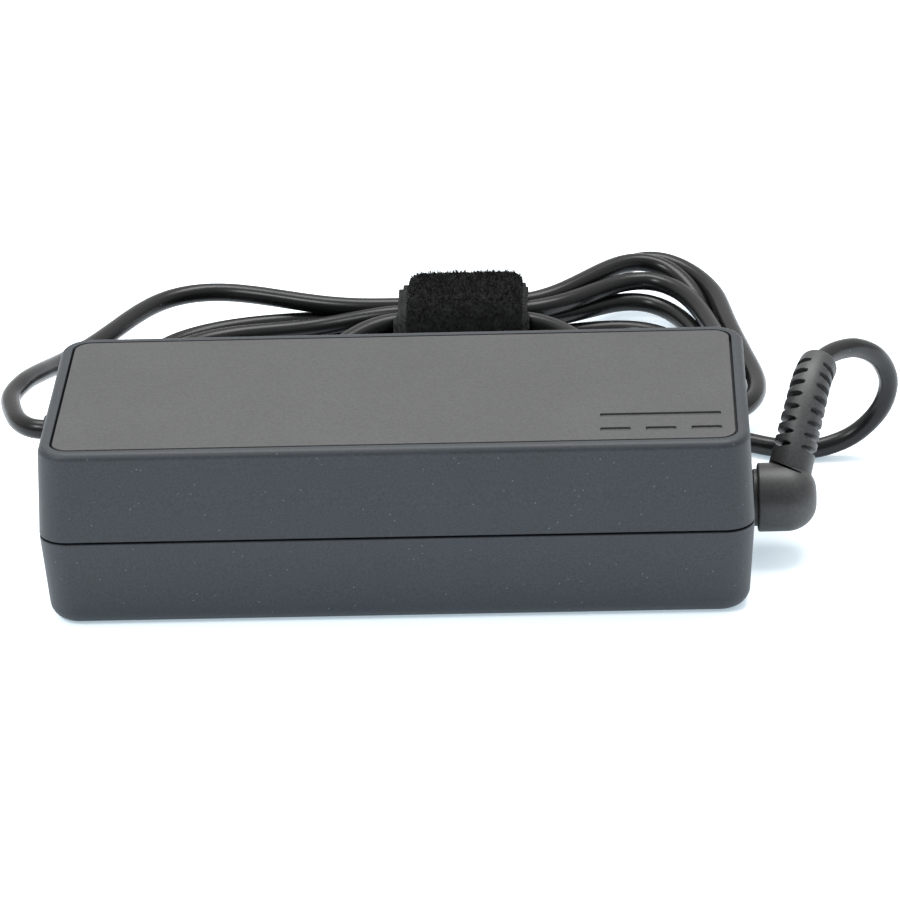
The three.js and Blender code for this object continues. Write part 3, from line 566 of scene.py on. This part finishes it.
def draft(z):
    """How far the sides have drawn in at a height."""
    above = max(z - SEAM, 0) * math.tan(math.radians(UPPER_DRAFT))
    return above + max(SEAM - z, 0) * math.tan(math.radians(LOWER_DRAFT))


def rounded_ring(half_x, half_y, radius, z, steps=10):
    ring = []
    for quarter, (sx, sy) in enumerate(((1, 1), (-1, 1), (-1, -1), (1, -1))):
        for i in range(steps + 1):
            angle = (quarter + i / steps) * math.pi / 2
            x = sx * (half_x - radius) + radius * math.cos(angle)
            y = sy * (half_y - radius) + radius * math.sin(angle)
            ring.append((x, y, z))
    return ring


def case_ring(z, inset, radius=CORNER):
    shrink = draft(z) + inset
    return rounded_ring(HALF_LENGTH - shrink, HALF_WIDTH - shrink, max(radius - inset, 1), z)


def quarter_turn(steps):
    """The (sine, cosine) pairs of a quarter turn."""
    angles = [i / steps * math.pi / 2 for i in range(steps + 1)]
    return [(math.sin(angle), math.cos(angle)) for angle in angles]


def end_cutter(radius, start, end, y, z):
    """A round cutter along X."""
    return turned("cutter", [(start, radius), (end, radius)], 64, (0, y, z))


def inlet_cutters():
    """The inlet's three lobes and their middle, and the cord's hole in the other end."""
    places = [(PIN_SPACING / 2, LINE_Z), (-PIN_SPACING / 2, LINE_Z), (0, PLUG_Z), (0, INLET_Z)]
    start, past = HALF_LENGTH - INLET_DEPTH, 2
    cutters = [end_cutter(INLET_LOBE, start, HALF_LENGTH + past, y, z) for y, z in places]
    return cutters + [end_cutter(GLAND_HOLE, -HALF_LENGTH - past, GLAND_DEPTH - HALF_LENGTH, *GLAND)]


panel_half = (HALF_LENGTH - draft(HEIGHT) - RIM, HALF_WIDTH - draft(HEIGHT) - RIM)


def upper_shell():
    low = SEAM + SEAM_GAP / 2
    ceiling = HEIGHT - PANEL_THICK - CLEAR - LEDGE
    inside = [(ceiling, WALL), (LAP_TOP, WALL), (LAP_TOP, LAP_INSET), (low, LAP_INSET)]
    rings = [case_ring(z, inset) for z, inset in inside]
    for sine, cosine in quarter_turn(3):
        rings.append(case_ring(low + EDGE * (1 - cosine), EDGE * (1 - sine)))
    for sine, cosine in quarter_turn(7):
        rings.append(case_ring(HEIGHT - TOP_FILLET * (1 - sine), TOP_FILLET * (1 - cosine)))
    half_x, half_y = panel_half
    corner = PANEL_CORNER + GROOVE
    for sine, cosine in quarter_turn(3):
        out, z = SOFT_EDGE * (1 - sine), HEIGHT - SOFT_EDGE * (1 - cosine)
        rings.append(rounded_ring(half_x + out, half_y + out, corner + out, z))
    rings.append(rounded_ring(half_x, half_y, corner, HEIGHT - PANEL_THICK - CLEAR))
    shell = facing_out(loft("upper_case", rings))
    return sharp_edges(combine(shell, inlet_cutters(), "DIFFERENCE"))


def lower_shell():
    high = SEAM - SEAM_GAP / 2
    tongue_top, tongue_inset = LAP_TOP - CLEAR, LAP_INSET + CLEAR
    inside = [(FLOOR, WALL), (tongue_top, WALL), (tongue_top, tongue_inset), (high, tongue_inset)]
    rings = [case_ring(z, inset) for z, inset in inside]
    for sine, cosine in quarter_turn(3):
        rings.append(case_ring(high - EDGE * (1 - cosine), EDGE * (1 - sine)))
    for sine, cosine in quarter_turn(9):
        rings.append(case_ring(BOTTOM_FILLET * (1 - sine), BOTTOM_FILLET * (1 - cosine)))
    for z in (0, POCKET_DEPTH):
        rings.append(rounded_ring(LABEL_HALF[0] + CLEAR, LABEL_HALF[1] + CLEAR, POCKET_CORNER, z))
    shell = facing_out(loft("lower_case", rings))
    return sharp_edges(combine(shell, inlet_cutters(), "DIFFERENCE"))


def inset_panel():
    """The panel, with the symbol for direct current pressed in: a bar over three dashes."""
    half_x, half_y = panel_half[0] - GROOVE, panel_half[1] - GROOVE
    rings = [rounded_ring(half_x, half_y, PANEL_CORNER, HEIGHT - PANEL_THICK)]
    for sine, cosine in quarter_turn(3):
        inset, z = SOFT_EDGE * (1 - cosine), HEIGHT - SOFT_EDGE * (1 - sine)
        rings.append(rounded_ring(half_x - inset, half_y - inset, PANEL_CORNER - inset, z))
    piece = facing_out(loft("inset_panel", rings))
    bar, length, spacing, depth = 1.3, 18.4, 5.2, 0.3
    end_margin, front_margin = 4.8, 5.85
    right, front = HALF_LENGTH - end_margin, front_margin - HALF_WIDTH
    dash = length / 4
    marks = [(right - length, front + spacing, length)]
    marks += [(right - length + i * 1.5 * dash, front, dash) for i in range(3)]
    cutters = []
    for x, y, size in marks:
        shape = [rounded_ring(size / 2 + g, bar / 2 + g, 0.3 + g, z, 5)
                 for z, g in ((HEIGHT - depth, 0), (HEIGHT - 0.05, 0), (HEIGHT + 0.1, 0.15))]
        shape = [[(px + x + size / 2, py + y + bar / 2, pz) for px, py, pz in ring] for ring in shape]
        cutters.append(facing_out(loft("cutter", shape)))
    return sharp_edges(combine(piece, cutters, "DIFFERENCE"))


dress(upper_shell(), casing, "adapter", "casing", "upper_shell")
dress(lower_shell(), casing, "adapter", "casing", "lower_shell")
dress(inset_panel(), panel, "adapter", "panel", "top_panel")


# ---------------------------------------------------------------- the strain relief
RELIEF_TIP, RELIEF_BORE, FLANGE_THICK = -57.3, 1.66, 1.4
RELIEF_RADIUS, FLANGE_RADIUS = 2.9, 3.2


def strain_relief():
    """A sleeve round the cord that tapers towards its tip, with a flange inside the case."""
    y, z = GLAND
    flange = draft(z) + WALL + CLEAR - HALF_LENGTH
    inner_end = flange + FLANGE_THICK
    outside = [(RELIEF_TIP, 2.0), (-57.2, 2.2), (-57.0, 2.3), (-55, RELIEF_RADIUS), (flange, RELIEF_RADIUS)]
    outside += [(flange, FLANGE_RADIUS), (inner_end, FLANGE_RADIUS)]
    profile = [(inner_end, RELIEF_BORE)] + outside[::-1] + [(RELIEF_TIP, RELIEF_BORE)]
    count = 48
    angles = np.arange(count) / count * 2 * math.pi
    points = [(x, y + r * math.cos(a), z + r * math.sin(a)) for x, r in profile for a in angles]
    rings = len(profile)
    faces = grid_faces(rings, count)
    last = (rings - 1) * count
    faces += [(last + i, last + (i + 1) % count, (i + 1) % count, i) for i in range(count)]
    return sharp_edges(facing_out(mesh_object("strain_relief", points, faces)))


gland = dress(strain_relief(), overmould, "adapter", "overmould", "cord_gland")


# ---------------------------------------------------------------- the plug
PLUG_MOUTH, PLUG_END, HEAD = 55.6, 64.8, 5.4
HEAD_DOME, COLLAR, MOUTH_ROUND = 4.8, 4.5, 0.4
BARREL_BORE, BARREL_DEPTH = 3.05, 5.5
BOOT = [(x + 59.7, y, z + PLUG_Z) for x, y, z in
        ((0, 0, 0), (2, 4.5, 6.5), (3.8, 9.1, 11.5), (5, 13.2, 14), (6.3, 17.2, 15))]
BOOT_BASE, BOOT_TIP, BOOT_ROUND, BOOT_STEP = 3.55, 3.05, 0.7, 0.05
SLOTS, SLOT_PITCH, SLOT_WIDTH, SLOT_DEPTH, FIRST_SLOT, SPINE = 8, 1.95, 0.85, 1.25, 7.7, 1.9


def plug_head():
    """The head: a domed barrel lying along X with a collar at its mouth."""
    mouth, drop = PLUG_MOUTH - 0.05, 0.9 * HEAD_DOME
    profile = [(PLUG_MOUTH - 0.7, COLLAR - 0.15), (PLUG_MOUTH - 0.6, COLLAR), (mouth, COLLAR)]
    for sine, cosine in quarter_turn(4):
        profile.append((mouth + MOUTH_ROUND * (1 - cosine), HEAD - MOUTH_ROUND * (1 - sine)))
    for sine, cosine in quarter_turn(14)[:-1]:
        profile.append((PLUG_END - HEAD_DOME * (1 - sine), HEAD - drop * (1 - cosine)))
    profile.append((PLUG_END, HEAD - drop))
    return turned("plug_body", profile, 80, (0, 0, PLUG_Z))


def boot_rings():
    """The bend relief: a tapering arm with slots across its two sides and a spine between them."""
    line = evenly(smooth_curve(np.array(BOOT, float), 60), BOOT_STEP)
    total = (len(line) - 1) * BOOT_STEP
    places = list(np.arange(0, total - BOOT_ROUND, 0.5))
    places += [total - BOOT_ROUND * (1 - sine) for sine, _ in quarter_turn(6)]
    middles = FIRST_SLOT + np.arange(SLOTS) * SLOT_PITCH
    for half in (0.56, 0.48, 0.4, 0.32, 0.24, 0.16, 0.08):
        places += list(middles - half) + list(middles + half)
    places = np.array(sorted(p for p in places if 0 <= p <= total))
    least_apart, count = 0.03, 80
    places = places[np.concatenate([[True], np.diff(places) > least_apart])]
    angles = np.arange(count) / count * 2 * math.pi
    radii = []
    for place in places:
        taper = BOOT_BASE + (BOOT_TIP - BOOT_BASE) * place / total
        into = max(place - (total - BOOT_ROUND), 0) / BOOT_ROUND
        taper -= BOOT_ROUND * (1 - math.sqrt(max(1 - into * into, 0)))
        nearest = np.abs(place - middles).min()
        round_side = np.clip((np.abs(np.cos(angles)) * taper - SPINE / 2) / 1.5, 0, 1)
        half = SLOT_WIDTH / 2 * round_side ** 0.4
        across = np.clip((half + 0.06 - nearest) / 0.14, 0, 1) * np.clip(round_side * 6, 0, 1)
        radii.append(taper - SLOT_DEPTH * across)
    at = np.stack([np.interp(places, np.arange(len(line)) * BOOT_STEP, line[:, k]) for k in range(3)], 1)
    return tube_rings(at, radii, count, (1, 0, 0))


def elbow_cut():
    """A thin curved blade, for the slit where the arm meets the head."""
    centre = Vector((59.95, -0.2, PLUG_Z + 5.3))
    across = Vector((0.743, -0.667, -0.044)).normalized()
    inwards = Vector((0.035, 0.909, -0.421))
    inwards = (inwards - across * inwards.dot(across)).normalized()
    thick = across.cross(inwards)
    half_length, deepest, half_thick, outside = 2.95, 1.4, 0.24, -3
    rings = []
    for step in range(9):
        share = step / 4 - 1
        at = centre + across * half_length * share
        deep = deepest * (1 - 0.4 * share * share)
        wide = half_thick * (1 - 0.55 * share * share)
        corners = [(outside, -wide), (deep, -wide * 0.6), (deep, wide * 0.6), (outside, wide)]
        rings.append([at + inwards * u + thick * v for u, v in corners])
    return facing_out(loft("cutter", rings))


def plug_body():
    head = plug_head()
    arm = facing_out(loft("arm", boot_rings()))
    combine(head, [arm], "UNION")
    combine(head, [elbow_cut()], "DIFFERENCE")
    ends = [(PLUG_MOUTH - 2, BARREL_BORE), (PLUG_MOUTH + BARREL_DEPTH, BARREL_BORE)]
    bore = turned("cutter", ends, 64, (0, 0, PLUG_Z))
    return sharp_edges(combine(head, [bore], "DIFFERENCE"), 38)


plug = dress(plug_body(), overmould, "plug", "overmould", "plug_overmould")


# ---------------------------------------------------------------- the strap
BUNDLE_HALF_Y, BUNDLE_HALF_Z, BUNDLE_CORNER = 7.4, 4.35, 2.6
BAND_Y, BAND_Z = BUNDLE_Y - 0.85, 5.42
WRAPS, LAYER, BAND, FIRST_GAP = 2.52, 0.72, 0.6, 0.05
WRAP_START = -0.28
UNDERNEATH = 0.27  # how thick the layers squeezed under the bundle are, against the others
NARROWER_LEFT, NARROWER_RIGHT = 2, 1


def band_place(turn, outwards):
    """(y, z) on a rounded rectangle round the bundle of runs, turn counted in whole wraps."""
    half_y, half_z, corner = (side + outwards for side in (BUNDLE_HALF_Y, BUNDLE_HALF_Z, BUNDLE_CORNER))
    straight_y, straight_z = 2 * (half_y - corner), 2 * (half_z - corner)
    arc = corner * math.pi / 2
    along = (turn % 1) * (2 * (straight_y + straight_z) + 4 * arc)
    y, z = -straight_y / 2, -half_z
    sides = ((1, 0, straight_y), (0, 1, straight_z), (-1, 0, straight_y), (0, -1, straight_z))
    for dy, dz, straight in sides:
        step = min(along, straight)
        y, z, along = y + dy * step, z + dz * step, along - step
        if along <= 0:
            break
        angle = min(along, arc) / corner
        y += corner * (dy * math.sin(angle) - dz * (1 - math.cos(angle)))
        z += corner * (dz * math.sin(angle) + dy * (1 - math.cos(angle)))
        along -= arc
        if along <= 0:
            break
    under = max(-BUNDLE_HALF_Z - z, 0)
    return BAND_Y + y, BAND_Z + z + under * (1 - UNDERNEATH)


def band_line(rise, steps=440):
    """The band's path from its inner end: (turn, y, z)."""
    turns = WRAP_START + WRAPS * np.arange(steps + 1) / steps
    return [(turn, *band_place(turn, rise + LAYER * (turn - WRAP_START))) for turn in turns]


def strap_band():
    """The band, wound from the inside out, each wrap a little narrower at its two edges."""
    across = 16
    rings = []
    for (turn, y0, z0), (_, y1, z1) in zip(band_line(FIRST_GAP), band_line(FIRST_GAP + BAND)):
        share = (turn - WRAP_START) / WRAPS
        low = STRAP_X - STRAP_WIDTH / 2 + NARROWER_LEFT * share
        high = STRAP_X + STRAP_WIDTH / 2 - NARROWER_RIGHT * share
        xs = [low + (high - low) * k / across for k in range(across + 1)]
        rings.append([(x, y1, z1) for x in xs] + [(x, y0, z0) for x in reversed(xs)])
    return sharp_edges(facing_out(loft("strap_band", rings)), 40)


band = dress(strap_band(), strap_weave, "adapter", "strap", "hook_and_loop_strap")
band_points = np.array(band_line(FIRST_GAP))

PILE_LOW, PILE_HIGH = STRAP_X - STRAP_WIDTH / 2 + 2.3, STRAP_X + STRAP_WIDTH / 2 - 1.2
PILE_START, PILE_END = 1.25, 1.95  # in turns: up the back, over the top and down the front
PILE_STANDS, PILE_ROOT, EDGE_FALL, END_FALL = 1.75, 0.12, 2.8, 0.05
BED_LONG, BED_ACROSS, BED_LUMPS, FIBRES = 150, 84, 0.16, 11000


def pile_height(share, x):
    """How far the pile stands off the band: full in the middle, falling off in a round at its edges."""
    edge = min(x - PILE_LOW, PILE_HIGH - x) / EDGE_FALL
    end = min(share, 1 - share) / END_FALL
    round_edge = math.sqrt(max(1 - (1 - min(edge, 1)) ** 2, 0))
    round_end = math.sqrt(max(1 - (1 - min(end, 1)) ** 2, 0))
    return PILE_ROOT + PILE_STANDS * round_edge * round_end


def pile_spot(share, x, height):
    """The point at a height over the band, at a share of the pile's length."""
    turn = PILE_START + (PILE_END - PILE_START) * share
    outwards = FIRST_GAP + BAND + LAYER * (turn - WRAP_START)
    y, z = band_place(turn, outwards + height)
    return Vector((x, y, z))


def pile_bed(draw):
    """The lumpy felted bed: its top, its underside just over the band, and the rim between them."""
    points, faces = [], []
    xs = [PILE_LOW + (PILE_HIGH - PILE_LOW) * k / BED_ACROSS for k in range(BED_ACROSS + 1)]
    for i in range(BED_LONG + 1):
        for k, x in enumerate(xs):
            inside = 0 < i < BED_LONG and 0 < k < BED_ACROSS
            lump = draw.uniform(-BED_LUMPS, BED_LUMPS) if inside else 0
            height = pile_height(i / BED_LONG, x)
            points.append(tuple(pile_spot(i / BED_LONG, x, height + lump * min(height, 1))))
    top, row = len(points), BED_ACROSS + 1
    for i in range(BED_LONG + 1):
        points += [tuple(pile_spot(i / BED_LONG, x, 0.03)) for x in xs]
    for i in range(BED_LONG):
        for k in range(BED_ACROSS):
            a = i * row + k
            faces.append((a, a + 1, a + row + 1, a + row))
            faces.append((top + a, top + a + row, top + a + row + 1, top + a + 1))
    rim = list(range(BED_ACROSS)) + [i * row + BED_ACROSS for i in range(BED_LONG)]
    rim += [BED_LONG * row + k for k in range(BED_ACROSS, 0, -1)]
    rim += [i * row for i in range(BED_LONG, 0, -1)]
    for a, b in zip(rim, rim[1:] + rim[:1]):
        faces.append((a, top + a, top + b, b))
    return points, faces


def pile_stem(draw):
    """Three points up the middle of one curled fibre, and its way out of the band."""
    share, x = draw.random(), draw.uniform(PILE_LOW, PILE_HIGH)
    height = pile_height(share, x)
    root, above = pile_spot(share, x, height - PILE_ROOT), pile_spot(share, x, height + 1)
    out = (above - root).normalized()
    tall = draw.uniform(0.15, 0.5) * min(height + 0.2, 1)
    lean = Vector([draw.gauss(0, 0.7) for _ in range(3)])
    curl = Vector([draw.gauss(0, 0.8) for _ in range(3)])
    stem = [root, root + (out + lean * 0.5) * tall * 0.6, root + (out + lean + curl * 0.5) * tall]
    return stem, out


def add_fibre(points, faces, stem, out):
    """A three-sided fibre that thins towards its tip."""
    side = out.cross(Vector((1, 0.3, 0.2))).normalized()
    other = out.cross(side)
    base = len(points)
    for p, radius in zip(stem, (0.07, 0.06, 0.03)):
        for k in range(3):
            angle = k * 2 * math.pi / 3
            points.append(tuple(p + (side * math.cos(angle) + other * math.sin(angle)) * radius))
    for level in (base, base + 3):
        for k in range(3):
            a, b = level + k, level + (k + 1) % 3
            faces.append((a, b, b + 3, a + 3))
    faces.append((base + 2, base + 1, base))
    faces.append((base + 6, base + 7, base + 8))


def strap_pile():
    """The loop pile on the outermost wrap: a felted bed with curled fibres standing on it."""
    draw = random.Random(7)
    points, faces = pile_bed(draw)
    least_clear = 0.1  # of the surface that the adapter lies on
    for _ in range(FIBRES):
        stem, out = pile_stem(draw)
        if min(p.z for p in stem) >= least_clear:
            add_fibre(points, faces, stem, out)
    return facing_out(mesh_object("strap_pile", points, faces))


tufts = dress(strap_pile(), strap_fibre, "adapter", "strap")

# ---------------------------------------------------------------- the cord
CORD_SIDES = 18
cord_rings = tube_rings(cord_line, [CORD / 2] * len(cord_line), CORD_SIDES, (0, 0, 1))
power_cord = facing_out(loft("power_cord", cord_rings))
dress(power_cord, cord_jacket, None, "cord", "dc_cord_start", "dc_cord_hank", "dc_cord_end")
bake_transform(power_cord)

# ---------------------------------------------------------------- the carried-over CAD nodes
socket = moulded("socket", (0.014, 0.0145, 0.015), 0.5, grain=1500, strength=0.1)
pin_plate = metal("pin_plate", (0.62, 0.58, 0.5), 0.25)
nickel = metal("nickel", (0.66, 0.66, 0.65), 0.22)
aluminium = metal("aluminium", (0.62, 0.63, 0.64), 0.4)
copper = metal("copper", (0.5, 0.24, 0.12), 0.4)
board = moulded("board", (0.02, 0.11, 0.045), 0.42, grain=900, strength=0.1)
film = moulded("film", (0.55, 0.5, 0.34), 0.35, grain=500, strength=0.05)
ferrite = moulded("ferrite", (0.045, 0.046, 0.05), 0.6, grain=1400, strength=0.4)
tape = moulded("tape", (0.6, 0.43, 0.05), 0.35, grain=300, strength=0.1)
chip = moulded("chip", (0.02, 0.02, 0.021), 0.45, grain=1600, strength=0.2)
sleeve = moulded("sleeve", (0.015, 0.022, 0.09), 0.3, grain=400, strength=0.05)
boxed = moulded("boxed_film", (0.5, 0.33, 0.04), 0.4, grain=700, strength=0.1)
ceramic = moulded("ceramic", (0.025, 0.1, 0.32), 0.3, grain=500, strength=0.15)
fuse_body = moulded("fuse_body", (0.55, 0.52, 0.45), 0.35, grain=500, strength=0.05)
insulation = moulded("insulation", (0.22, 0.02, 0.02), 0.4, grain=600, strength=0.08)
label = moulded("label", (0.2, 0.205, 0.21), 0.4, grain=500, strength=0.04)

carry({
    "rating_label": label,
    "inlet_socket": socket, "inlet_pin_line": pin_plate, "inlet_pin_neutral": pin_plate,
    "inlet_pin_earth": pin_plate, "plug_barrel": nickel, "plug_insulator": socket,
    "plug_inner_contact": pin_plate,
    "main_circuit_board": board, "insulating_film": film, "top_heat_spreader": aluminium,
    "primary_heatsink": aluminium, "secondary_heatsink": aluminium, "line_fuse": fuse_body,
    "inrush_thermistor": chip, "x_capacitor": boxed, "emi_choke_core": ferrite,
    "emi_choke_winding_line": copper, "emi_choke_winding_neutral": copper, "bridge_rectifier": chip,
    "bulk_capacitor": sleeve, "switching_transistor": chip, "transformer_core_front": ferrite,
    "transformer_core_rear": ferrite, "transformer_bobbin": chip, "transformer_winding": tape,
    "y_capacitor": ceramic, "output_rectifier": chip, "output_choke": ferrite,
    "output_capacitor_1": sleeve, "output_capacitor_2": sleeve, "optocoupler": chip,
    "controller_chip": chip, "inlet_lead_line": insulation, "inlet_lead_neutral": insulation,
    "inlet_lead_earth": insulation, "output_lead_positive": insulation,
    "output_lead_negative": insulation,
})


# ---------------------------------------------------------------- floor and light
def make_floor():
    """A plain pale surface, lit a little from within so that its shadows stay faint and bluish."""
    half = 4.0
    mesh = bpy.data.meshes.new("floor")
    corners = [(-half, -half, 0), (half, -half, 0), (half, half, 0), (-half, half, 0)]
    mesh.from_pydata(corners, [], [(0, 1, 2, 3)])
    floor = bpy.data.objects.new("floor", mesh)
    bpy.context.scene.collection.objects.link(floor)
    material, tree, shader, place = nodes_of("paper", (0.88, 0.9, 0.93), 0.7, specular=0.2)
    tone = ramp(tree, noise(tree, place, 3, 2), [(0.3, (0.87, 0.9, 0.93)), (0.7, (0.89, 0.91, 0.94))])
    tree.links.new(tone, shader.inputs["Base Color"])
    shader.inputs["Emission Color"].default_value = (0.7, 0.86, 0.96, 1)
    shader.inputs["Emission Strength"].default_value = 0.5
    mesh.materials.append(material)


def area_light(name, place, target, size, power, colour=(1, 1, 1)):
    """A soft rectangular lamp that faces its target; metres and watts."""
    data = bpy.data.lights.new(name, "AREA")
    data.shape = "RECTANGLE"
    data.size, data.size_y = size
    data.energy = power
    data.color = colour
    lamp = bpy.data.objects.new(name, data)
    lamp.location = place
    lamp.rotation_euler = (Vector(target) - Vector(place)).to_track_quat("-Z", "Y").to_euler()
    bpy.context.scene.collection.objects.link(lamp)


def make_world():
    """A pale surround, bright above and behind and dim in front."""
    world = bpy.data.worlds.new("surround")
    world.use_nodes = True
    bpy.context.scene.world = world
    tree = world.node_tree
    place = node(tree, "TexCoord").outputs["Generated"]
    parts = node(tree, "SeparateXYZ", {"Vector": place})
    back = node(tree, "Math", {0: parts.outputs["Y"], 1: 0.55}, operation="MULTIPLY")
    both = node(tree, "Math", {0: parts.outputs["Z"], 1: back.outputs[0]}, operation="ADD")
    share = node(tree, "MapRange", {"Value": both.outputs[0], "From Min": -0.6, "From Max": 1.1})
    tone = ramp(tree, share.outputs["Result"], [(0.1, (0.10, 0.12, 0.14)), (0.75, (1.0, 1.0, 1.0))])
    background = tree.nodes["Background"]
    tree.links.new(tone, background.inputs["Color"])
    background.inputs["Strength"].default_value = 1.0


make_floor()
make_world()
area_light("key", (-0.5, -0.45, 0.8), (0, 0.02, 0.01), (0.3, 0.2), 4.2, (0.97, 0.99, 1.0))
area_light("top", (0.05, 0.3, 0.9), (0, 0.03, 0.01), (0.8, 0.4), 9.0)
bpy.context.scene.view_settings.view_transform = "Standard"

bpy.context.view_layer.update()
